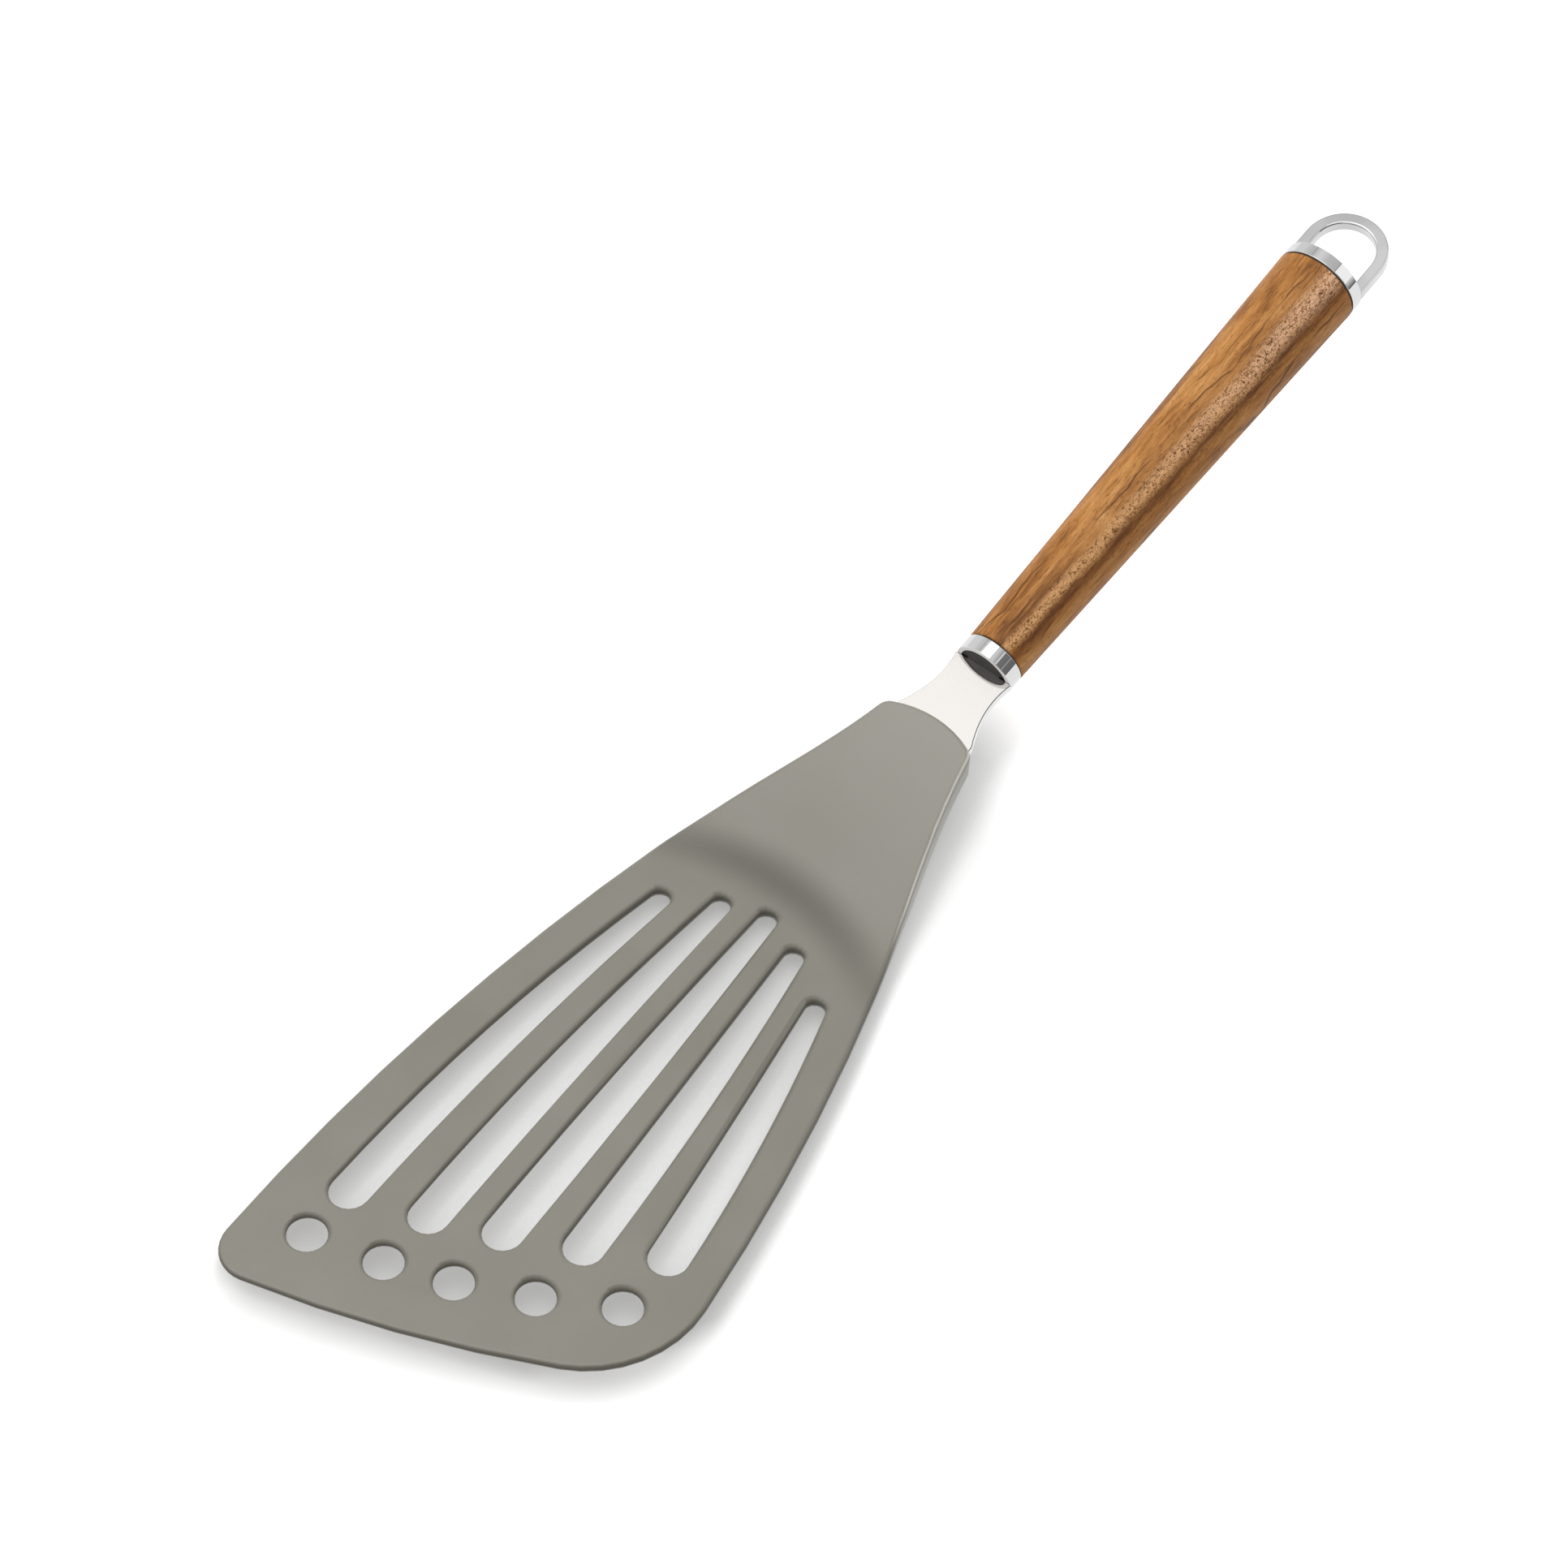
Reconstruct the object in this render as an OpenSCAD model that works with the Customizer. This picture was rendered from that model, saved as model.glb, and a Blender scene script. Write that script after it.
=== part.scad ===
// Slotted spatula: a soft moulded head over a stiffener plate, a flat steel shank
// and a turned wooden handle with a polished collar and a hanging loop.
// X runs from the blade towards the handle, Z is up and the flat underside of the
// blade lies on Z = 0. The axis of the handle starts at the origin, where the neck
// bends up from the blade, and rises at the pitch angle.

/* [Blade] */
// From the bend of the neck to the foremost point of the long corner
head_len = 141; // [125:1:160]
// From the middle line to the edge on the long side
long_side = 32.6; // [31:0.1:38]
// From the middle line to the edge on the short side
short_side = 51.8; // [50:0.1:57]
// Thickness at the front edge
blade_t_front = 1.7; // [1.6:0.05:2.4]
// Thickness at the bend
blade_t_back = 3.2; // [2.8:0.1:4]
// Rounding of every edge of the head
edge_r = 1.2; // [0.8:0.1:1.4]
// Radius of the long corner
long_corner_r = 7.5; // [6.5:0.5:10]
// Radius of the short corner
short_corner_r = 26; // [22:1:29]
// Radius of the bowed front edge
front_bow_r = 270; // [200:10:400]
// Radius of the bowed edge on the long side
long_bow_r = 520; // [460:10:700]
// Radius of the bowed edge on the short side
short_bow_r = 500; // [400:10:700]

/* [Slots and holes] */
// Radius of a slot's wide end
slot_wide_r = 4.05; // [3:0.05:4.4]
// Radius of a slot's narrow end
slot_narrow_r = 2.1; // [1.6:0.05:2.4]
// Radius of a hole
hole_r = 4; // [3:0.1:4.4]

/* [Neck] */
// Angle between the handle and the blade
pitch = 13; // [10:0.5:16]
// From the bend to the end of the neck
neck_len = 46.6; // [45:0.1:50]
// Half the width of the neck at its rear corners
neck_half = 11.8; // [11:0.1:13]
// Thickness of the neck
neck_t = 6.6; // [6:0.1:7.4]
// Radius of the neck's rear corners
neck_corner_r = 3.2; // [2:0.1:4]
// Half the length of the bend's curve on the upper side
bend_half = 8; // [5:0.5:8]
// Half the length of the heel's curve on the underside
heel_half = 6; // [4:0.5:8]

/* [Stiffener] */
// Thickness of the stiffener plate
core_t = 0.6; // [0.4:0.05:0.7]
// Cover under the stiffener plate
core_cover = 0.5; // [0.35:0.05:0.6]
// From the head's edge to the stiffener plate
core_inset = 5; // [4:0.5:6]
// From the wall of a slot or a hole to the stiffener plate
window_margin = 1.5; // [1.3:0.1:1.7]
// Radius of a rivet's shank
rivet_r = 1.5; // [1:0.1:1.8]
// Radius of a rivet's head
rivet_head_r = 2.6; // [2.2:0.1:3]
// Height of a rivet's head
rivet_head_h = 0.6; // [0.4:0.1:0.7]

/* [Shank] */
// Thickness of the steel sheet
shank_t = 2; // [1.6:0.1:2.2]
// Half the width of the shank at the ferrule
shank_half = 7.2; // [6.9:0.1:7.8]
// Half the width of the shank where it leaves the neck
flare_half = 9.5; // [8.8:0.1:10]
// Half the width of the tongue's end inside the neck
tongue_half = 12.5; // [11:0.5:14]
// Radius of the tongue's corners
tongue_corner_r = 4; // [2:0.5:5]
// Half the width of the tang inside the handle
tang_half = 4.2; // [3.4:0.1:4.3]
// Length of the visible sheet, from the neck to the ferrule
shank_free = 16.2; // [12:0.1:24]
// Length of the tang behind the ferrule's front rim
tang_len = 24; // [21:0.1:28]

/* [Ferrule] */
// Length of the visible band
ferrule_len = 3.7; // [3:0.1:5]
// Wall of the band round the plug
ferrule_wall = 1.1; // [0.6:0.1:1.4]
// Depth at which the plug's face sits behind the rim
plug_recess = 0.2; // [0.1:0.1:0.8]
// Thickness of the plug
plug_t = 1.5; // [1:0.1:1.8]
// Radius of the spigot inside the wood
spigot_r = 5.4; // [5.1:0.1:5.6]
// Length of the spigot inside the wood
spigot_len = 6; // [4:0.5:9]

/* [Handle] */
// Length of the wood
wood_len = 112.9; // [90:0.1:140]
// Radius of the wood at the front
wood_r_front = 6.9; // [6.7:0.1:7.4]
// Radius of the wood at the rear
wood_r_rear = 9.7; // [9.3:0.1:11]
// Chamfer on both ends of the wood
wood_chamfer = 0.3; // [0.1:0.1:0.6]
// Thickness of the sealing washers at both ends of the wood
washer_t = 0.3; // [0.2:0.05:0.6]
// Depth at which a washer lies below the surface of the handle
washer_inset = 0.2; // [0.1:0.1:0.5]
// Radius of the tie rod
rod_r = 2.5; // [2:0.1:3]

/* [Hanging loop] */
// Length of the polished rear band
band_len = 2.9; // [2.5:0.1:5]
// Wall of the rear band
band_wall = 1.1; // [0.8:0.1:1.5]
// Outer radius of the loop
loop_r = 9.7; // [9.2:0.1:9.7]
// Width of the loop's bar, measured in the plane of the loop
loop_bar = 2.8; // [2.4:0.1:3.6]
// Thickness of the loop's bar
loop_t = 2.8; // [2.4:0.1:4]
// Rounding of the bar's edges
loop_edge_r = 0.5; // [0.3:0.1:1.1]
// From the rear band to the centre of the loop
loop_leg = 7; // [5:0.1:10]
// Radius of the boss that the rod screws into
boss_r = 6; // [4.5:0.1:6.5]
// Length of the boss inside the wood
boss_len = 10; // [8:0.5:14]
// Depth of the rod in the boss
thread_len = 8.5; // [6:0.5:9]

/* [Fits] */
// Gap round a piece that slides into another
fit_gap = 0.05; // [0.02:0.01:0.1]
// Gap round the tang and the rod inside the wood
bore_gap = 0.25; // [0.1:0.05:0.4]

/* [Hidden] */
$fn = 96;

// How far a cutter reaches past the surface that it cuts
overrun = 1;
// The largest share of the thickness that an edge's rounding may take
rounding_share = 0.46;

// Places of the slots, as shares of head_len and of the blade's whole width:
// wide end along and across, narrow end along and across, bow of the middle line
slot_shares = [
    [-0.7985, 0.2155, -0.1405, 0.2155, 0.0215],
    [-0.7590, 0.0330, -0.0935, 0.0930, 0.0115],
    [-0.7140, -0.1250, -0.0715, -0.0195, 0.0015],
    [-0.6610, -0.2905, -0.0980, -0.1385, -0.0055],
    [-0.5995, -0.4550, -0.1495, -0.2735, -0.0085],
];
// Places of the holes, in the same shares
hole_shares = [
    [-0.8870, 0.2095], [-0.8535, 0.0275], [-0.8165, -0.1290],
    [-0.7640, -0.2965], [-0.7000, -0.4625],
];
// Centre of the short corner and of the long side's bow, as shares of head_len
short_corner_share = 0.665;
long_bow_share = 0.596;
// Where the neck's sides leave the bows, as a share of head_len
neck_root_share = 0.071;
// How much further out the short side still is at that place, as a share
short_root_share = 0.135;
// Length of the neck's straight side before its rear corner, as a share of neck_len
neck_side_share = 0.908;
// Slope of the neck's sides at the rear corner, as a share of length
neck_slope_share = 0.22;
// Where the tongue starts and the stiffener plate ends, as shares of neck_len
tongue_start_share = 0.3;
core_end_share = 0.77;
// Slope of the shank's side where it leaves the neck, and the other way at the ferrule
flare_slope_share = 0.5;
waist_slope_share = 0.25;

blade_w = long_side + short_side;
tan_p = tan(pitch);
cos_p = cos(pitch);
tongue_start = tongue_start_share * neck_len;
core_end = core_end_share * neck_len;
flare_end = neck_len / cos_p;
ferrule_start = flare_end + shank_free;
wood_start = ferrule_start + ferrule_len + washer_t;
wood_end = wood_start + wood_len;
band_start = wood_end + washer_t;
band_end = band_start + band_len;
tang_end = ferrule_start + tang_len;
rod_end = band_start - boss_len + thread_len;
rivet_places = [[core_end - 2 * rivet_head_r, 0],
                [tongue_start + 2 * rivet_head_r, tongue_half / 2],
                [tongue_start + 2 * rivet_head_r, -tongue_half / 2]];

// Points along a circle from one angle to another
function arc(c, r, a0, a1, n) =
    [for (i = [0:n]) let (a = a0 + (a1 - a0) * i / n) c + r * [cos(a), sin(a)]];
// Height of a cubic that joins two points with a given slope at each
function hermite(x, x0, y0, s0, x1, y1, s1) =
    let (w = x1 - x0, t = (x - x0) / w)
    (2 * t ^ 3 - 3 * t ^ 2 + 1) * y0 + (t ^ 3 - 2 * t ^ 2 + t) * w * s0
    + (3 * t ^ 2 - 2 * t ^ 3) * y1 + (t ^ 3 - t ^ 2) * w * s1;
// Centre of the circle that lies at distance a from p and b from q
function tangent_centre(p, a, q, b, side) =
    let (d = norm(q - p), u = (q - p) / d, along = (a * a - b * b + d * d) / (2 * d),
         across = sqrt(a * a - along * along))
    p + along * u + side * across * [-u[1], u[0]];
// Angle of the direction from p to q
function heading(p, q) = atan2(q[1] - p[1], q[0] - p[0]);
// Two straight lines joined by a parabola of half length b round their meeting point
function bent(x, z1, s1, s2, xi, b) =
    x < xi - b ? z1 + s1 * x
    : x > xi + b ? z1 + s1 * x + (s2 - s1) * (x - xi)
    : z1 + s1 * x + (s2 - s1) * (x - xi + b) ^ 2 / (4 * b);

// Heights of the head's upper side and underside
blade_slope = (blade_t_back - blade_t_front) / head_len;
neck_rise = neck_t / 2 / cos_p;
bend_x = (blade_t_back - neck_rise) / (tan_p - blade_slope);
heel_x = neck_rise / tan_p;
function head_top(x) = bent(x, blade_t_back, blade_slope, tan_p, bend_x, bend_half);
function head_low(x) = bent(x, 0, 0, tan_p, heel_x, heel_half);

// Circles that the blade's outline runs along
long_bow_c = [-long_bow_share * head_len, long_side - long_bow_r];
long_corner_x = -head_len + long_corner_r;
long_corner_c = [long_corner_x, long_bow_c[1]
    + sqrt((long_bow_r - long_corner_r) ^ 2 - (long_corner_x - long_bow_c[0]) ^ 2)];
short_corner_c = [-short_corner_share * head_len, -short_side + short_corner_r];
front_bow_c = tangent_centre(long_corner_c, front_bow_r - long_corner_r,
                             short_corner_c, front_bow_r - short_corner_r, 1);
neck_root = -neck_root_share * head_len;
long_root = [neck_root, long_bow_c[1] + sqrt(long_bow_r ^ 2 - (neck_root - long_bow_c[0]) ^ 2)];
short_root = [neck_root, -long_root[1] - (short_side - long_side) * short_root_share];
short_bow_c = tangent_centre(short_corner_c, short_bow_r - short_corner_r,
                             short_root, short_bow_r, 1);
neck_side = neck_side_share * neck_len;

// Half widths of the neck on both sides
function bow_slope(c, p) = -(p[0] - c[0]) / (p[1] - c[1]);
function long_neck(x) = hermite(x, neck_root, long_root[1], bow_slope(long_bow_c, long_root),
                                neck_side, neck_half, -neck_slope_share);
function short_neck(x) = hermite(x, neck_root, short_root[1], bow_slope(short_bow_c, short_root),
                                 neck_side, -neck_half, neck_slope_share);

// Rear end of the neck: a corner circle on each side and a bow between them
end_tilt = atan(neck_slope_share);
end_corner_c = [neck_side, neck_half] - neck_corner_r * [sin(end_tilt), cos(end_tilt)];
end_run = neck_len - end_corner_c[0];
end_bow_r = (end_run ^ 2 + end_corner_c[1] ^ 2 - neck_corner_r ^ 2)
            / (2 * (end_run - neck_corner_r));
end_bow_c = [neck_len - end_bow_r, 0];
end_bow_a = heading(end_bow_c, end_corner_c);

// Both sides of the outline from the front to the rear, with a point of one side for
// each point of the other, and with equal distances along X from the neck's root on
neck_steps = 20;
end_steps = 4;
function neck_x(i) = neck_root + (neck_side - neck_root) * i / neck_steps;
long_chain = concat(
    arc(long_corner_c, long_corner_r, 180 + heading(long_corner_c, front_bow_c),
        heading(long_bow_c, long_corner_c), 9),
    [for (i = [1:8]) let (a0 = heading(long_bow_c, long_corner_c),
                          a1 = heading(long_bow_c, long_root), a = a0 + (a1 - a0) * i / 8)
        long_bow_c + long_bow_r * [cos(a), sin(a)]],
    [for (i = [1:neck_steps]) [neck_x(i), long_neck(neck_x(i))]],
    [for (i = [1:end_steps]) let (a = 90 - end_tilt
        + (end_bow_a - 90 + end_tilt) * i / end_steps)
        end_corner_c + neck_corner_r * [cos(a), sin(a)]],
    [for (i = [1:end_steps]) let (a = end_bow_a * (1 - i / end_steps))
        end_bow_c + end_bow_r * [cos(a), sin(a)]]);
front_a0 = 180 + heading(long_corner_c, front_bow_c);
front_a1 = 180 + heading(short_corner_c, front_bow_c);
short_a = heading(short_bow_c, short_corner_c);
short_chain = concat(
    arc(front_bow_c, front_bow_r, front_a0, front_a1, 4),
    [for (i = [1:8]) let (a = front_a1 + (360 + short_a - front_a1) * i / 8)
        short_corner_c + short_corner_r * [cos(a), sin(a)]],
    [for (i = [1:5]) let (a1 = heading(short_bow_c, short_root),
                          a = short_a + (a1 - short_a) * i / 5)
        short_bow_c + short_bow_r * [cos(a), sin(a)]],
    [for (i = [1:neck_steps]) [neck_x(i), short_neck(neck_x(i))]],
    [for (i = [1:2 * end_steps]) let (p = long_chain[len(long_chain) - 1
        - 2 * end_steps + i]) [p[0], -p[1]]]);
chain_len = len(long_chain) - 1;
outline = concat(short_chain, [for (i = [chain_len - 1:-1:1]) long_chain[i]]);

// Outward normals of a closed outline that runs anticlockwise
function normals(pts) = let (n = len(pts))
    [for (i = [0:n - 1]) let (d = pts[(i + 1) % n] - pts[(i + n - 1) % n])
        [d[1], -d[0]] / norm(d)];
// The same outline, moved outwards by d
function grown(pts, nrm, d) = [for (i = [0:len(pts) - 1]) pts[i] + d * nrm[i]];

// Rounding at a place of the head, and its inset and height at an angle of the rounding
function head_round(x) = min(edge_r, rounding_share * (head_top(x) - head_low(x)));
function round_inset(x, a) = head_round(x) * (1 - cos(a));
function round_z(x, a, up) = let (r = head_round(x))
    up ? head_top(x) - r + r * sin(a) : head_low(x) + r - r * sin(a);

// A solid of stacked rings, each with the same number of points
module ring_stack(rings, low_cap, top_cap) {
    n = len(rings[0]);
    sides = [for (k = [0:len(rings) - 2]) for (i = [0:n - 1]) let (j = (i + 1) % n)
        each [[k * n + i, (k + 1) * n + i, (k + 1) * n + j],
              [k * n + i, (k + 1) * n + j, k * n + j]]];
    last = (len(rings) - 1) * n;
    polyhedron([for (r = rings) each r],
               concat(sides, low_cap, [for (f = top_cap) [for (i = f) last + i]]));
}

// Head without its slots, holes and inner pieces
module head_blank() {
    n = len(outline);
    nrm = normals(outline);
    angles = [90, 60, 30, 0];
    function ring(a, up) = [for (i = [0:n - 1]) let (x = outline[i][0],
        p = outline[i] - round_inset(x, a) * nrm[i]) [p[0], p[1], round_z(p[0], a, up)]];
    rings = concat([for (a = angles) ring(a, false)],
                   [for (i = [len(angles) - 1:-1:0]) ring(angles[i], true)]);
    // A strip of the upper side joins point i of the short side to point i of the long side
    function far(i) = i == 0 ? 0 : i == chain_len ? chain_len : n - i;
    strips = [for (i = [0:chain_len - 1]) each concat(
        i == chain_len - 1 ? [] : [[far(i + 1), i + 1, i]],
        i == 0 ? [] : [[far(i), far(i + 1), i]])];
    ring_stack(rings, [for (f = strips) [f[2], f[1], f[0]]], strips);
}

// Cutter with a rounded rim on the upper side and on the underside of the blade
module rimmed_cut(pts) {
    nrm = normals(pts);
    angles = [90, 45, 0];
    function ring(a, up, past) = [for (i = [0:len(pts) - 1]) let (x = pts[i][0],
        p = pts[i] + round_inset(x, a) * nrm[i]) [p[0], p[1], round_z(x, a, up) + past]];
    rings = concat([ring(90, false, -overrun)], [for (a = angles) ring(a, false, 0)],
                   [for (i = [2:-1:0]) ring(angles[i], true, 0)], [ring(90, true, overrun)]);
    n = len(pts);
    ring_stack(rings, [[for (i = [0:n - 1]) i]], [[for (i = [n - 1:-1:0]) i]]);
}

// Outline of a slot, anticlockwise: the wide end, one side, the narrow end, the other
function slot_points(s, margin) =
    let (p = [s[0] * head_len, s[1] * blade_w], q = [s[2] * head_len, s[3] * blade_w],
         bow = 4 * s[4] * blade_w, d = norm(q - p), u = (q - p) / d, v = [-u[1], u[0]],
         r0 = slot_wide_r + margin, r1 = slot_narrow_r + margin, lean = atan(bow / d),
         taper = atan(2 * (r0 - r1) / d), dir = heading(p, q), steps = 9)
    concat(
        arc(p, r0, dir + lean + 90, dir + lean + 270, 10),
        [for (i = [1:steps]) let (t = i / (steps + 1))
            p + t * d * u + (bow * t * (1 - t) - r0 + (r0 - r1) * t * t) * v],
        arc(q, r1, dir - lean - 90 + taper, dir - lean + 90 - taper, 7),
        [for (i = [steps:-1:1]) let (t = i / (steps + 1))
            p + t * d * u + (bow * t * (1 - t) + r0 - (r0 - r1) * t * t) * v]);
function hole_points(h, margin) =
    [for (i = [0:23]) [h[0] * head_len, h[1] * blade_w]
        + (hole_r + margin) * [cos(15 * i), sin(15 * i)]];

// Everything along the handle's axis is drawn with X along that axis
module along_axis() {
    rotate([0, -pitch, 0]) children();
}
// A turned piece from a profile of points [place along the axis, radius]
module turned(profile) {
    along_axis() rotate([0, 90, 0]) rotate_extrude()
        polygon([for (p = profile) [p[1], p[0]]]);
}
module tube(start, end, r_out, r_in) {
    turned([[start, r_in], [end, r_in], [end, r_out], [start, r_out]]);
}

// Stiffener plate: a flat part and a part along the underside of the sheet, which meet
// at the middle of their thickness
module core_solid() {
    inset = grown(outline, normals(outline), -core_inset);
    drop = (shank_t + core_t) / 2;
    joint = (core_cover + core_t / 2 + drop / cos_p) / tan_p;
    joint_along = (joint - drop * sin(pitch)) / cos_p;
    difference() {
        intersection() {
            union() {
                translate([-head_len, -blade_w, core_cover])
                    cube([head_len + joint + core_t / 2 * tan_p, 2 * blade_w, core_t]);
                along_axis() translate([joint_along, -blade_w, -shank_t / 2 - core_t])
                    cube([core_end - joint_along, 2 * blade_w, core_t]);
            }
            linear_extrude(neck_len) polygon(inset);
        }
        for (s = slot_shares)
            translate([0, 0, -overrun]) linear_extrude(blade_t_back + overrun)
                polygon(slot_points(s, window_margin));
        for (h = hole_shares)
            translate([h[0] * head_len, h[1] * blade_w, -overrun])
                cylinder(h = blade_t_back + overrun, r = hole_r + window_margin);
    }
}

module at_rivets() {
    for (p = rivet_places)
        along_axis() translate([p[0], p[1], 0]) children();
}
module rivet_solids() {
    low = -shank_t / 2 - core_t;
    at_rivets() union() {
        translate([0, 0, low - rivet_head_h])
            cylinder(h = rivet_head_h, r = rivet_head_r);
        translate([0, 0, low - rivet_head_h])
            cylinder(h = shank_t + core_t + 2 * rivet_head_h, r = rivet_r);
        translate([0, 0, shank_t / 2])
            cylinder(h = rivet_head_h, r = rivet_head_r);
    }
}
module rivet_holes() {
    at_rivets() cylinder(h = 2 * neck_t, r = rivet_r, center = true);
}

module shank_sheet() {
    steps = 12;
    side = concat(
        [[tang_end, tang_half], [ferrule_start, tang_half]],
        [for (i = [0:steps]) let (x = ferrule_start - shank_free * i / steps)
            [x, hermite(x, ferrule_start, shank_half, waist_slope_share,
                        flare_end, flare_half, -flare_slope_share)]],
        arc([tongue_start, tongue_half] + tongue_corner_r * [1, -1], tongue_corner_r, 90, 180, 8));
    along_axis() translate([0, 0, -shank_t / 2]) linear_extrude(shank_t)
        polygon(concat(side, [for (i = [len(side) - 1:-1:0]) [side[i][0], -side[i][1]]]));
}

module head() {
    color("#8f8c80") difference() {
        head_blank();
        for (s = slot_shares) rimmed_cut(slot_points(s, 0));
        for (h = hole_shares) rimmed_cut(hole_points(h, 0));
        core_solid();
        shank_sheet();
        rivet_solids();
    }
}

module core_plate() {
    color("#b9bcc0") difference() {
        core_solid();
        rivet_holes();
    }
}

module core_rivets() {
    color("#c9cccf") rivet_solids();
}

module shank() {
    color("#e2e0dc") difference() {
        shank_sheet();
        rivet_holes();
    }
}

module ferrule() {
    plug_end = ferrule_start + plug_recess + plug_t;
    plug_r = wood_r_front - ferrule_wall;
    tang_r = norm([tang_half, shank_t / 2]) + bore_gap;
    band_end_x = ferrule_start + ferrule_len;
    color("#d4d6d9") turned([
        [ferrule_start, plug_r], [plug_end, plug_r], [plug_end, tang_r],
        [wood_start + spigot_len, tang_r], [wood_start + spigot_len, spigot_r],
        [band_end_x, spigot_r], [band_end_x, wood_r_front], [ferrule_start, wood_r_front]]);
}

module ferrule_plug() {
    face = ferrule_start + plug_recess;
    color("#2b2b2c") difference() {
        tube(face, face + plug_t, wood_r_front - ferrule_wall - fit_gap, 0);
        along_axis() translate([ferrule_start - overrun, -tang_half - fit_gap,
                                -shank_t / 2 - fit_gap])
            cube([ferrule_len + 2 * overrun, 2 * (tang_half + fit_gap),
                  shank_t + 2 * fit_gap]);
    }
}

module front_washer() {
    color("#3a2c20") tube(wood_start - washer_t, wood_start,
                          wood_r_front - washer_inset, spigot_r + fit_gap);
}

module handle() {
    tang_r = norm([tang_half, shank_t / 2]) + bore_gap;
    color("#a97647") difference() {
        turned([[wood_start, 0], [wood_start, wood_r_front - wood_chamfer],
                [wood_start + wood_chamfer, wood_r_front],
                [wood_end - wood_chamfer, wood_r_rear],
                [wood_end, wood_r_rear - wood_chamfer], [wood_end, 0]]);
        tube(wood_start - overrun, wood_start + spigot_len + bore_gap,
             spigot_r + fit_gap, 0);
        tube(wood_start, tang_end + bore_gap, tang_r, 0);
        tube(wood_start, wood_end, rod_r + bore_gap, 0);
        tube(band_start - boss_len - bore_gap, wood_end + overrun, boss_r + fit_gap, 0);
    }
}

module tie_rod() {
    color("#b4b6b8") tube(tang_end, rod_end, rod_r, 0);
}

module rear_washer() {
    color("#3a2c20") tube(wood_end, band_start,
                          wood_r_rear - washer_inset, boss_r + fit_gap);
}

module rear_band() {
    color("#d4d6d9") tube(band_start, band_end, wood_r_rear, wood_r_rear - band_wall);
}

// Section of the loop's bar with rounded edges, centred on the origin
module bar_section() {
    w = loop_bar - 2 * loop_edge_r;
    h = loop_t - 2 * loop_edge_r;
    square([loop_bar, h], center = true);
    square([w, loop_t], center = true);
    for (x = [-w / 2, w / 2], y = [-h / 2, h / 2])
        translate([x, y]) circle(r = loop_edge_r);
}

module hanging_loop() {
    centre = band_end + loop_leg;
    mid_r = loop_r - loop_bar / 2;
    disc_r = wood_r_rear - band_wall - fit_gap;
    color("#cfd1d4") union() {
        difference() {
            turned([[band_start - boss_len, 0], [band_start - boss_len, boss_r],
                    [band_start, boss_r], [band_start, disc_r],
                    [band_end + fit_gap, disc_r], [band_end + fit_gap, 0]]);
            tube(band_start - boss_len - overrun, rod_end, rod_r, 0);
        }
        along_axis() translate([centre, 0, 0]) {
            rotate([0, 0, -90]) rotate_extrude(angle = 180)
                translate([mid_r, 0]) bar_section();
            for (side = [-1, 1])
                translate([0, side * mid_r, 0]) rotate([0, -90, 0])
                    linear_extrude(loop_leg) rotate(90) bar_section();
        }
    }
}

head();
core_plate();
core_rivets();
shank();
ferrule();
ferrule_plug();
front_washer();
handle();
tie_rod();
rear_washer();
rear_band();
hanging_loop();
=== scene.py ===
import math

import bpy
from mathutils import Matrix, Vector

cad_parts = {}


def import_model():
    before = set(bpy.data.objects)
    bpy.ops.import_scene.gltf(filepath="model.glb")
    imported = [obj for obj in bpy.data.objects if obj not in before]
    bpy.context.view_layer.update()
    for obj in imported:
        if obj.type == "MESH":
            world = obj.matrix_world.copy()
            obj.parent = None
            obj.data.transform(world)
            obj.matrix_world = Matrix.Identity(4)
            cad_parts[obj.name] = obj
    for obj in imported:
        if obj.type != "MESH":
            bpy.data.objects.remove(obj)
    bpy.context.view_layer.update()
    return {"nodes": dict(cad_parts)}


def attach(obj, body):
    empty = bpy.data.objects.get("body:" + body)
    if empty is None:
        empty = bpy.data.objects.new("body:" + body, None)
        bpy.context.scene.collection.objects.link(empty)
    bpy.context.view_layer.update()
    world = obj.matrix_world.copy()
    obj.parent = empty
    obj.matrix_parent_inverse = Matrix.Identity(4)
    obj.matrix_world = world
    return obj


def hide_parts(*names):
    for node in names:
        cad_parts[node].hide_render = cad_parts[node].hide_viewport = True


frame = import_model()
scene = bpy.context.scene
nodes = frame["nodes"]

PITCH = math.radians(13)        # of the handle, the sheet and the neck

# The arc of painted shade at the foot of the neck, in metres
ARC_FRONT = -0.0011             # where it crosses the middle of the blade
ARC_MIDDLE = 0.0015
ARC_CURVE = 9.5                 # how fast it curves towards the front, per metre
ARC_HALF = 0.008                # half its width

# Angles round the handle, in radians from the top, of the bands of painted highlight and painted
# shade on the wood
BAND_HIGHLIGHT = -0.59
BAND_SHADE = -0.92
SIDE_SHADE = -1.02

# The meshes are cleaned and rounded with these limits
SAME_POINT = 0.000002           # metres
SAME_PLANE = math.radians(0.3)
ROUND_FROM = math.radians(50)   # an edge that turns by more gets its rounding

FLOOR_HALF = 3.0
FLOOR_DROP = 0.0022             # from the origin down to the floor
FLOOR_TILT = 0.03               # rise per metre towards the handle
# The floor's painted shadow: it is drawn darker near the object
FLOOR_REACH = 0.03              # how far off an object still darkens it
FLOOR_COVERED = 0.62            # occlusion at which it is drawn darkest
FLOOR_FADE = 0.20               # and how much more makes it clear
# Lines on the floor beyond which the shadow is painted thinner: the front edge, the right corner
FLOOR_LINES = (((-0.939, -0.343, 0), 0.1183), ((-0.6, -0.8, 0), 0.0925))
FLOOR_THIN = 0.006              # how far it takes to thin it


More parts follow.
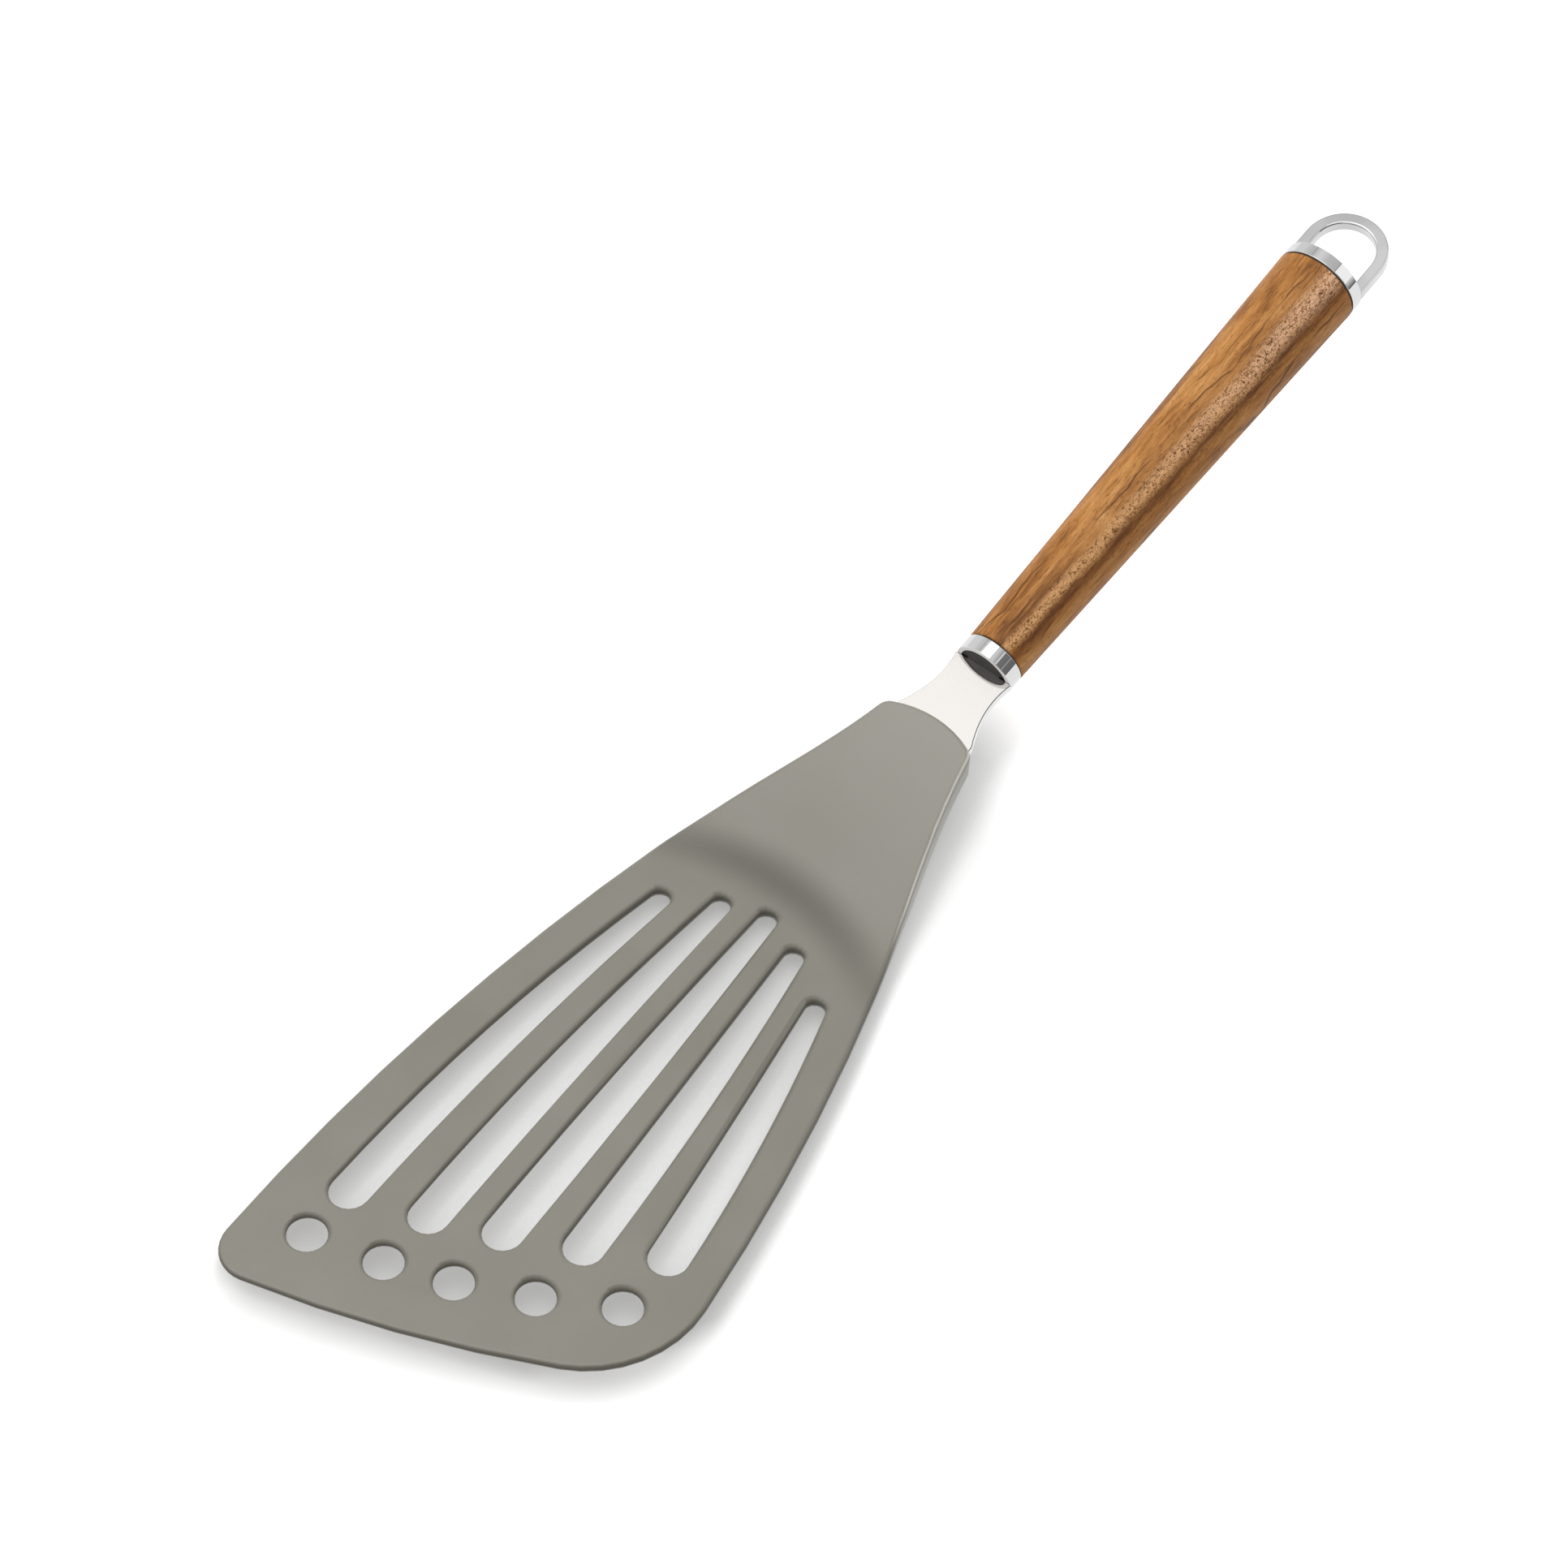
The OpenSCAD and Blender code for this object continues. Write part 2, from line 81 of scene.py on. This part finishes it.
# ---------------------------------------------------------------- node helpers
class Graph:
    """A material's or world's node tree with short calls."""

    def __init__(self, tree):
        self.tree = tree
        tree.nodes.clear()

    def add(self, kind, **settings):
        node = self.tree.nodes.new(kind)
        for key, value in settings.items():
            setattr(node, key, value)
        return node

    def link(self, a, b):
        self.tree.links.new(a, b)

    def feed(self, value, socket):
        if isinstance(value, bpy.types.NodeSocket):
            self.link(value, socket)
        else:
            socket.default_value = value

    def math(self, op, a, b=0.0, clamp=False):
        node = self.add("ShaderNodeMath", operation=op, use_clamp=clamp)
        for value, socket in zip((a, b), node.inputs):
            self.feed(value, socket)
        return node.outputs[0]

    def noise(self, vector, scale, detail=2.0, rough=0.5, distort=0.0):
        node = self.add("ShaderNodeTexNoise")
        self.link(vector, node.inputs["Vector"])
        node.inputs["Scale"].default_value = scale
        node.inputs["Detail"].default_value = detail
        node.inputs["Roughness"].default_value = rough
        node.inputs["Distortion"].default_value = distort
        return node.outputs["Fac"]

    def ramp(self, fac, stops):
        node = self.add("ShaderNodeValToRGB")
        self.link(fac, node.inputs["Fac"])
        elements = node.color_ramp.elements
        while len(elements) < len(stops):
            elements.new(0.5)
        for element, (place, colour) in zip(elements, stops):
            element.position = place
            element.color = colour
        return node.outputs["Color"]

    def mix(self, fac, a, b):
        """Colour a where the factor is 0 and b where it is 1."""
        node = self.add("ShaderNodeMix", data_type="RGBA", blend_type="MIX")
        self.feed(fac, node.inputs[0])
        self.feed(a, node.inputs[6])
        self.feed(b, node.inputs[7])
        return node.outputs[2]

    def span(self, value, a0, a1, b0, b1):
        """The value's place between a0 and a1, as a value from b0 to b1."""
        node = self.add("ShaderNodeMapRange")
        self.feed(value, node.inputs["Value"])
        for name, x in zip(("From Min", "From Max", "To Min", "To Max"), (a0, a1, b0, b1)):
            node.inputs[name].default_value = x
        return node.outputs["Result"]

    def mapped(self, vector, scale=(1, 1, 1), turn=(0, 0, 0)):
        node = self.add("ShaderNodeMapping", vector_type="POINT")
        self.link(vector, node.inputs["Vector"])
        node.inputs["Scale"].default_value = scale
        node.inputs["Rotation"].default_value = turn
        return node.outputs[0]

    def face(self, kind="Normal"):
        """The three parts of the surface's own direction."""
        return self.split(self.add("ShaderNodeNewGeometry").outputs[kind])

    def split(self, vector):
        node = self.add("ShaderNodeSeparateXYZ")
        self.link(vector, node.inputs[0])
        return node.outputs

    def ridge(self, value, centre, half):
        """1 where the value is at the centre, falling softly to 0 at half away."""
        away = self.math("ABSOLUTE", self.math("SUBTRACT", value, centre))
        node = self.add("ShaderNodeMapRange", interpolation_type="SMOOTHSTEP")
        self.link(away, node.inputs["Value"])
        for name, x in zip(("From Min", "From Max", "To Min", "To Max"), (0, half, 1, 0)):
            node.inputs[name].default_value = x
        return node.outputs["Result"]

    def bump(self, height, strength, distance):
        node = self.add("ShaderNodeBump")
        node.inputs["Strength"].default_value = strength
        node.inputs["Distance"].default_value = distance
        self.link(height, node.inputs["Height"])
        return node.outputs["Normal"]


def rgb(r, g, b):
    """Linear colour of an 8-bit screen colour."""
    return tuple(((x / 255 + 0.055) / 1.055) ** 2.4 if x > 10 else x / 255 / 12.92
                 for x in (r, g, b)) + (1.0,)


def grey(level):
    """A grey of a linear level, where 1 is white."""
    return (level, level, level, 1.0)


def material(name):
    """A new material: itself, its graph, its shader and the coordinates on the object."""
    mat = bpy.data.materials.new(name)
    mat.use_nodes = True
    g = Graph(mat.node_tree)
    out = g.add("ShaderNodeOutputMaterial")
    shader = g.add("ShaderNodeBsdfPrincipled")
    g.link(shader.outputs[0], out.inputs["Surface"])
    place = g.add("ShaderNodeTexCoord").outputs["Object"]
    return mat, g, shader, place


# ---------------------------------------------------------------- materials
def bend_shade(g, place):
    """1 along the shallow arc of painted shade at the foot of the neck, 0 away from it."""
    x, y, _ = g.split(place)
    side = g.math("SUBTRACT", y, ARC_MIDDLE)
    square = g.math("MULTIPLY", side, side)
    along = g.math("ADD", x, g.math("MULTIPLY", square, ARC_CURVE))
    dark = g.ridge(along, ARC_FRONT, ARC_HALF)
    return g.math("MULTIPLY", dark, g.span(square, 0.0, 0.0007, 1.0, 0.45))


def silicone():
    """Soft matt silicone with fine grain, painted shade on its walls and at the foot of the neck,
    painted sheen on the neck and a painted highlight on the neck's edge.
    """
    mat, g, s, place = material("silicone")
    along, _, _ = g.split(place)
    _, across, up = g.face()
    cloud = g.noise(place, 35, 3)
    grain = g.noise(place, 2600, 2, 0.6)
    colour = g.mix(g.span(cloud, 0.35, 0.65, 0, 1), rgb(134, 131, 118), rgb(139, 136, 124))
    colour = g.mix(g.span(grain, 0.3, 0.7, 0.0, 0.10), colour, rgb(116, 113, 104))
    # Painted shade along the arc at the foot of the neck
    colour = g.mix(g.math("MULTIPLY", bend_shade(g, place), 0.95), colour, rgb(98, 95, 84))
    # Painted sheen: the neck is drawn paler towards its end
    colour = g.mix(g.span(along, 0.012, 0.045, 0.0, 0.5), colour, rgb(163, 160, 149))
    # Painted shade: the walls of the blade and of its openings are drawn darker than its faces
    upright = g.math("ABSOLUTE", up)
    wall_shade = g.math("MULTIPLY", g.span(upright, 0.95, 0.2, 0.0, 1.0),
                  g.span(along, -0.006, 0.004, 1.0, 0.0))
    colour = g.mix(wall_shade, colour, rgb(104, 101, 91))
    # A highlight is painted along the rounded right edge of the neck
    pale = g.math("MULTIPLY", g.ridge(g.math("ARCTAN2", across, up), -0.72, 0.5),
                  g.span(along, 0.0, 0.010, 0.0, 0.95))
    colour = g.mix(pale, colour, rgb(226, 223, 213))
    g.link(colour, s.inputs["Base Color"])
    g.link(g.span(cloud, 0.3, 0.7, 0.29, 0.34), s.inputs["Roughness"])
    g.link(g.span(wall_shade, 0.0, 0.6, 0.75, 0.25), s.inputs["Specular IOR Level"])
    g.link(g.bump(grain, 0.15, 0.00012), s.inputs["Normal"])
    return mat


def polished(name, colour, rough, dip=0.97):
    """Polished steel. Soft clouds on it are darker by the factor dip."""
    mat, g, s, place = material(name)
    cloud = g.noise(place, 60, 2)
    fine = g.noise(place, 900, 2)
    tint = tuple(dip * c for c in colour[:3]) + (1.0,)
    g.link(g.mix(g.span(cloud, 0.35, 0.6, 0.0, 1.0), tint, colour), s.inputs["Base Color"])
    g.link(g.span(fine, 0.3, 0.7, rough, rough * 1.4), s.inputs["Roughness"])
    s.inputs["Metallic"].default_value = 1.0
    g.link(g.bump(cloud, 0.03, 0.0002), s.inputs["Normal"])
    return mat


def sheet():
    """Polished sheet steel. Its right side is painted pale and a dark line is painted along its
    rounded edge, as painted reflections.
    """
    mat, g, s, place = material("sheet_steel")
    cloud = g.noise(place, 60, 2)
    fine = g.noise(place, 900, 2)
    colour = g.mix(cloud, rgb(187, 184, 181), rgb(190, 187, 184))
    _, across, up = g.face("True Normal")
    lean = g.math("ARCTAN2", across, up)
    # Painted reflection: the right side is drawn pale
    colour = g.mix(g.span(lean, -1.40, -1.48, 0.0, 1.0), colour, rgb(235, 235, 235))
    # Painted reflection: a dark line is drawn along the rounded edge
    edge = g.math("MULTIPLY", g.ridge(lean, -0.77, 0.68), 8.0, clamp=True)
    g.link(g.mix(edge, colour, rgb(50, 50, 52)), s.inputs["Base Color"])
    g.link(g.span(fine, 0.3, 0.7, 0.06, 0.08), s.inputs["Roughness"])
    s.inputs["Metallic"].default_value = 0.9
    g.link(g.bump(cloud, 0.03, 0.0002), s.inputs["Normal"])
    return mat


def plain(name, a, b, rough, metal=0.0):
    """A plain dull material between the colours a and b."""
    mat, g, s, place = material(name)
    cloud = g.noise(place, 300, 3)
    g.link(g.mix(cloud, a, b), s.inputs["Base Color"])
    g.link(g.span(cloud, 0.3, 0.7, rough, rough + 0.1), s.inputs["Roughness"])
    s.inputs["Metallic"].default_value = metal
    g.link(g.bump(cloud, 0.1, 0.0001), s.inputs["Normal"])
    return mat


def acacia():
    """Wood with its grain along the handle: streaks, dark wavy lines, painted shade on one side
    and in one dark band and, beside it, a paler band of painted speckled highlight."""
    mat, g, s, place = material("wood")
    turned = g.mapped(place, turn=(0, PITCH, 0))
    along, across, up = g.split(turned)
    waver = g.math("SUBTRACT", g.noise(g.mapped(turned, (1, 0.3, 0.3)), 38, 3, 0.6), 0.5)
    lean = g.math("MULTIPLY", g.math("SUBTRACT", along, 0.17), 0.8)
    # The angle round the handle, which wanders a little along it
    angle = g.math("ADD", g.math("ADD", g.math("ARCTAN2", across, up), lean),
                   g.math("MULTIPLY", waver, 0.35))
    broad = g.noise(g.mapped(turned, (0.16, 1, 1)), 210, 4, 0.6, 0.8)
    fibre = g.noise(g.mapped(turned, (0.10, 1, 1)), 1500, 4, 0.65, 0.3)
    pores = g.noise(g.mapped(turned, (0.22, 1, 1)), 3400, 2, 0.5)
    speck = g.noise(g.mapped(turned, (0.75, 1, 1)), 1500, 4, 0.75, 1.2)

    tone = g.math("ADD", g.math("MULTIPLY", broad, 0.62), g.math("MULTIPLY", fibre, 0.38))
    colour = g.ramp(tone, [(0.38, rgb(128, 78, 32)), (0.45, rgb(164, 106, 47)),
                           (0.51, rgb(188, 126, 61)), (0.58, rgb(205, 144, 78)),
                           (0.67, rgb(222, 166, 104))])
    # Thin dark lines that follow the growth rings, in patches
    ring = g.math("ADD", g.math("MULTIPLY", across, 300), g.math("ADD", g.math(
        "MULTIPLY", up, 90), g.math("MULTIPLY", waver, 2.3)))
    edge = g.ridge(g.math("FRACT", ring), 0.5, 0.10)
    patch = g.span(g.noise(g.mapped(turned, (0.35, 1, 1)), 170, 2), 0.46, 0.60, 0, 0.8)
    colour = g.mix(g.math("MULTIPLY", edge, patch), colour, rgb(80, 44, 16))
    # Painted shade on the right side and in a dark band, and beside it a band of painted speckled
    # highlight
    side = g.math("MULTIPLY", g.ridge(angle, SIDE_SHADE, 0.42),
                  g.span(along, 0.07, 0.16, 0.45, 0.1))
    colour = g.mix(side, colour, rgb(140, 86, 40))
    # Painted shade in a band with torn edges
    torn = g.math("ADD", angle, g.math("MULTIPLY", g.math("SUBTRACT", speck, 0.5), 0.5))
    dark = g.math("MULTIPLY", g.ridge(torn, BAND_SHADE, 0.25), g.span(fibre, 0.35, 0.62, 1.0, 0.5))
    colour = g.mix(dark, colour, rgb(104, 60, 30))
    # A band of painted speckled highlight, brighter towards the rear, with dark specks in it
    spread = g.math("MULTIPLY", g.math("SUBTRACT", angle, BAND_HIGHLIGHT),
                    g.span(along, 0.06, 0.17, 1.1, 0.8))
    highlight_band = g.ridge(spread, 0.0, 0.31)
    glint = g.math("MULTIPLY", highlight_band, g.span(speck, 0.42, 0.52, 0.0, 1.0))
    dull = g.math("MULTIPLY", highlight_band, g.span(speck, 0.45, 0.38, 0.0, 0.9))
    bright = g.mix(g.span(along, 0.11, 0.19, 0.0, 1.0), rgb(236, 180, 122), rgb(255, 206, 168))
    colour = g.mix(glint, colour, bright)
    colour = g.mix(dull, colour, rgb(98, 58, 26))
    colour = g.mix(g.span(pores, 0.58, 0.70, 0.0, 0.6), colour, rgb(92, 54, 26))
    g.link(colour, s.inputs["Base Color"])
    g.link(g.span(fibre, 0.3, 0.7, 0.38, 0.50), s.inputs["Roughness"])
    s.inputs["Specular IOR Level"].default_value = 0.18
    rough = g.math("ADD", fibre, g.math("MULTIPLY", g.math("MULTIPLY", highlight_band, speck), 2.2))
    g.link(g.bump(rough, 0.4, 0.00025), s.inputs["Normal"])
    return mat


SILICONE = silicone()
STEEL = polished("polished_steel", rgb(226, 226, 226), 0.04)
# On the loop the clouds are much darker: painted shade in place of the darker reflections on it
LOOP = polished("loop_steel", rgb(226, 226, 226), 0.05, 0.78)
SHEET = sheet()
PLAIN_STEEL = plain("plain_steel", rgb(190, 190, 192), rgb(205, 205, 206), 0.35, 1.0)
PLUG = plain("dark_plastic", rgb(30, 30, 30), rgb(37, 37, 37), 0.5)
WASHER = plain("washer_rubber", rgb(52, 38, 28), rgb(60, 44, 32), 0.6)
WOOD = acacia()


# ---------------------------------------------------------------- pieces
def smooth_copy(node, mat, slot, angle, edge=0.0):
    """The node's own mesh as a piece with soft shading across its rounded edges. Its sharp
    edges get a rounding of the given size in millimetres."""
    mesh = nodes[node].data.copy()
    obj = bpy.data.objects.new(node + "_look", mesh)
    scene.collection.objects.link(obj)
    obj.matrix_world = Matrix.Identity(4)
    mesh.materials.clear()
    mesh.materials.append(mat)
    bpy.context.view_layer.objects.active = obj
    for other in bpy.context.selected_objects:
        other.select_set(False)
    obj.select_set(True)
    bpy.ops.object.mode_set(mode="EDIT")
    bpy.ops.mesh.select_all(action="SELECT")
    bpy.ops.mesh.remove_doubles(threshold=SAME_POINT)
    bpy.ops.mesh.normals_make_consistent(inside=False)
    bpy.ops.mesh.dissolve_limited(angle_limit=SAME_PLANE)
    bpy.ops.object.mode_set(mode="OBJECT")
    bpy.ops.object.shade_smooth_by_angle(angle=math.radians(angle))
    if edge:
        soften = obj.modifiers.new("soften", "BEVEL")
        soften.width = edge / 1000
        soften.segments = 3
        soften.limit_method = "ANGLE"
        soften.angle_limit = ROUND_FROM
        soften.harden_normals = True
    weigh = obj.modifiers.new("weigh", "WEIGHTED_NORMAL")
    weigh.keep_sharp = True
    weigh.weight = 95
    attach(obj, "root")
    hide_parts(node)


# Node, material, slot, smoothing angle in degrees, rounding in millimetres
for look in (
        ("head", SILICONE, "silicone", 50),
        ("shank", SHEET, "polished_steel", 30, 0.5),
        ("ferrule", STEEL, "polished_steel", 30, 0.12),
        ("ferrule_plug", PLUG, "dark_plastic", 30),
        ("front_washer", WASHER, "washer_rubber", 30),
        ("handle", WOOD, "wood", 30),
        ("rear_washer", WASHER, "washer_rubber", 30),
        ("rear_band", STEEL, "polished_steel", 30, 0.15),
        ("hanging_loop", LOOP, "polished_steel", 40),
        ("core_plate", PLAIN_STEEL, "plain_steel", 30),
        ("core_rivets", PLAIN_STEEL, "plain_steel", 30),
        ("tie_rod", PLAIN_STEEL, "plain_steel", 30)):
    smooth_copy(*look)


# ---------------------------------------------------------------- floor
def floor():
    """A pale floor, tilted as in the photograph: the front of the head is a little raised."""
    mesh = bpy.data.meshes.new("floor")
    corners = [(-1, -1), (1, -1), (1, 1), (-1, 1)]
    mesh.from_pydata([(FLOOR_HALF * x, FLOOR_HALF * y, 0) for x, y in corners],
                     [], [(0, 1, 2, 3)])
    obj = bpy.data.objects.new("floor", mesh)
    scene.collection.objects.link(obj)
    up = Vector((-FLOOR_TILT, 0, 1)).normalized()
    obj.rotation_euler = up.to_track_quat("Z", "Y").to_euler()
    obj.location = (0, 0, -FLOOR_DROP)
    mat = bpy.data.materials.new("floor")
    mat.use_nodes = True
    mesh.materials.append(mat)
    g = Graph(mat.node_tree)
    out = g.add("ShaderNodeOutputMaterial")
    pale = g.add("ShaderNodeBsdfDiffuse")
    pale.inputs["Color"].default_value = grey(0.85)
    # Close to the object a shadow is painted on the floor: it is drawn a little darker than in
    # the open
    close = g.add("ShaderNodeAmbientOcclusion", samples=16)
    close.inputs["Distance"].default_value = FLOOR_REACH
    clear = g.math("SUBTRACT", 1.0, g.ridge(g.math(
        "MAXIMUM", close.outputs["AO"], FLOOR_COVERED), FLOOR_COVERED, FLOOR_FADE))
    # From the ferrule on it is drawn white, because the photograph shows no shadow there
    place = g.add("ShaderNodeNewGeometry").outputs["Position"]
    along = g.split(place)[0]
    clear = g.math("MAXIMUM", clear, g.span(along, 0.053, 0.073, 0.0, 1.0))
    # The shadow is painted thinner ahead of the front edge and round the right corner
    for way, start in FLOOR_LINES:
        ahead = g.add("ShaderNodeVectorMath", operation="DOT_PRODUCT")
        g.link(place, ahead.inputs[0])
        ahead.inputs[1].default_value = way
        clear = g.math("MAXIMUM", clear, g.span(
            ahead.outputs["Value"], start, start + FLOOR_THIN, 0.0, 0.85))
    # Painted light: where the floor is clear, its glow is higher by the blade and from the
    # ferrule on than by the neck, which thins the shadows there
    bright = g.ramp(g.span(along, -0.02, 0.08, 0.0, 1.0),
                    [(0.10, grey(0.45)), (0.32, grey(0.31)),
                     (0.58, grey(0.31)), (0.90, grey(0.74))])
    drawn = g.add("ShaderNodeBsdfDiffuse")
    g.link(g.mix(clear, grey(0.50), grey(0.90)), drawn.inputs["Color"])
    lift = g.add("ShaderNodeEmission")
    g.link(g.mix(clear, grey(0.335), bright), lift.inputs["Color"])
    white = g.add("ShaderNodeAddShader")
    g.link(drawn.outputs[0], white.inputs[0])
    g.link(lift.outputs[0], white.inputs[1])
    # Metal mirrors a plain white floor
    mirrored = g.add("ShaderNodeEmission")
    rays = g.add("ShaderNodeLightPath").outputs
    lit = g.add("ShaderNodeMixShader")
    g.link(g.math("MAXIMUM", rays["Is Glossy Ray"], rays["Is Transmission Ray"]), lit.inputs[0])
    g.link(pale.outputs[0], lit.inputs[1])
    g.link(mirrored.outputs[0], lit.inputs[2])
    seen = g.add("ShaderNodeMixShader")
    g.link(rays["Is Camera Ray"], seen.inputs[0])
    g.link(lit.outputs[0], seen.inputs[1])
    g.link(white.outputs[0], seen.inputs[2])
    g.link(seen.outputs[0], out.inputs["Surface"])


floor()


# ---------------------------------------------------------------- camera
def camera():
    """The camera that was fitted to the photograph."""
    data = bpy.data.cameras.new("camera")
    obj = bpy.data.objects.new("camera", data)
    scene.collection.objects.link(obj)
    right = Vector((0.63073, -0.77508, 0.03776))
    down = Vector((-0.58815, -0.50922, -0.62831))
    ahead = Vector((0.50622, 0.37408, -0.77705))
    place = Vector((-0.4879, -0.3571, 0.7815))
    turn = Matrix((right, -down, -ahead)).transposed().to_4x4()
    obj.matrix_world = Matrix.Translation(place) @ turn
    data.sensor_width = 36
    data.lens = 111.8
    data.clip_start = 0.05
    data.clip_end = 20
    data.dof.use_dof = False
    scene.camera = obj


camera()


# ---------------------------------------------------------------- light
def softbox(name, place, target, size, level):
    """An area light whose face has the given level, where 1 is white."""
    data = bpy.data.lights.new(name, "AREA")
    data.shape = "RECTANGLE"
    data.size, data.size_y = size
    data.energy = math.pi * size[0] * size[1] * level
    obj = bpy.data.objects.new(name, data)
    scene.collection.objects.link(obj)
    obj.location = place
    obj.rotation_euler = (Vector(target) - Vector(place)).to_track_quat("-Z", "Y").to_euler()
    obj.visible_camera = False
    obj.visible_glossy = False


def card(name, corner, along, up, stops):
    """A studio panel that only reflections show. Its level follows the stops along one side."""
    corner, along, up = Vector(corner), Vector(along), Vector(up)
    mesh = bpy.data.meshes.new(name)
    mesh.from_pydata([(0, 0, 0), (1, 0, 0), (1, 1, 0), (0, 1, 0)], [], [(0, 1, 2, 3)])
    obj = bpy.data.objects.new(name, mesh)
    scene.collection.objects.link(obj)
    obj.matrix_world = Matrix((along, up, along.cross(up).normalized())).transposed().to_4x4()
    obj.matrix_world.translation = corner
    mat = bpy.data.materials.new(name)
    mat.use_nodes = True
    mesh.materials.append(mat)
    g = Graph(mat.node_tree)
    out = g.add("ShaderNodeOutputMaterial")
    glow = g.add("ShaderNodeEmission")
    x, _, _ = g.split(g.add("ShaderNodeTexCoord").outputs["Object"])
    g.link(g.ramp(x, [(place, grey(level)) for place, level in stops]), glow.inputs["Color"])
    g.link(glow.outputs[0], out.inputs["Surface"])
    for kind in ("camera", "diffuse", "transmission", "volume_scatter", "shadow"):
        setattr(obj, "visible_" + kind, False)


softbox("overhead", (0.24, 0.42, 1.0), (0.24, 0.42, 0), (1.6, 1.6), 1.10)

card("over_main", (-0.25, -0.17, 1.0), (0.49, 0, 0), (0, 0.915, 0), [(0, 1.92), (1, 1.92)])
card("over_side", (-1.0, -0.8, 1.0), (0, 0.63, 0), (1.24, 0, 0), [(0, 0.75), (1, 0.75)])
card("over_front", (-1.25, -0.17, 1.0), (1.0, 0, 0), (0, 1.2, 0), [(0, 1.5), (1, 1.5)])
card("over_rear", (0.24, -0.64, 1.0), (0, 1.33, 0), (1.0, 0, 0),
     [(0, 0.22), (0.05, 0.53), (0.45, 0.62), (0.7, 0.84), (0.93, 0.66), (1, 0.35)])
card("side_main", (0.39, -0.8, 0.3), (1.8, 0, 0), (0, 0, 0.95),
     [(0, 1.1), (1, 1.15)])
card("side_dark", (-1.0, -0.8, -0.05), (0, 0, 1.05), (1.39, 0, 0),
     [(0, 0.14), (0.40, 0.18), (0.43, 0.4), (0.46, 0.4), (0.49, 0.18), (1, 0.21)])
card("side_low", (0.39, -0.8, -0.05), (0, 0, 0.35), (1.8, 0, 0),
     [(0, 0.05), (0.2, 0.08), (1, 0.8)])


def world():
    """A soft dome that is brighter behind the object, with the white backdrop for the camera."""
    w = bpy.data.worlds.new("studio")
    scene.world = w
    w.use_nodes = True
    g = Graph(w.node_tree)
    out = g.add("ShaderNodeOutputWorld")
    way = g.add("ShaderNodeTexCoord").outputs["Generated"]

    def towards(x, y, z):
        """1 in the given direction and -1 away from it."""
        node = g.add("ShaderNodeVectorMath", operation="DOT_PRODUCT")
        g.link(way, node.inputs[0])
        node.inputs[1].default_value = Vector((x, y, z)).normalized()
        return node.outputs["Value"]

    def dome(level):
        node = g.add("ShaderNodeBackground")
        g.feed(level, node.inputs["Strength"])
        return node.outputs[0]

    rays = g.add("ShaderNodeLightPath").outputs
    mirrored = g.math("MAXIMUM", rays["Is Glossy Ray"], rays["Is Transmission Ray"])
    light = dome(g.span(towards(0.3, 0.6, 0.75), -0.4, 0.8, 0.10, 0.85))
    studio = dome(g.span(towards(0.6, 0.2, 0.78), 0.70, 0.97, 1.0, 0.6))
    seen = g.add("ShaderNodeMixShader")
    g.link(mirrored, seen.inputs[0])
    g.link(light, seen.inputs[1])
    g.link(studio, seen.inputs[2])
    pick = g.add("ShaderNodeMixShader")
    g.link(rays["Is Camera Ray"], pick.inputs[0])
    g.link(seen.outputs[0], pick.inputs[1])
    g.link(dome(1.0), pick.inputs[2])
    g.link(pick.outputs[0], out.inputs["Surface"])


world()
scene.view_settings.view_transform = "Standard"
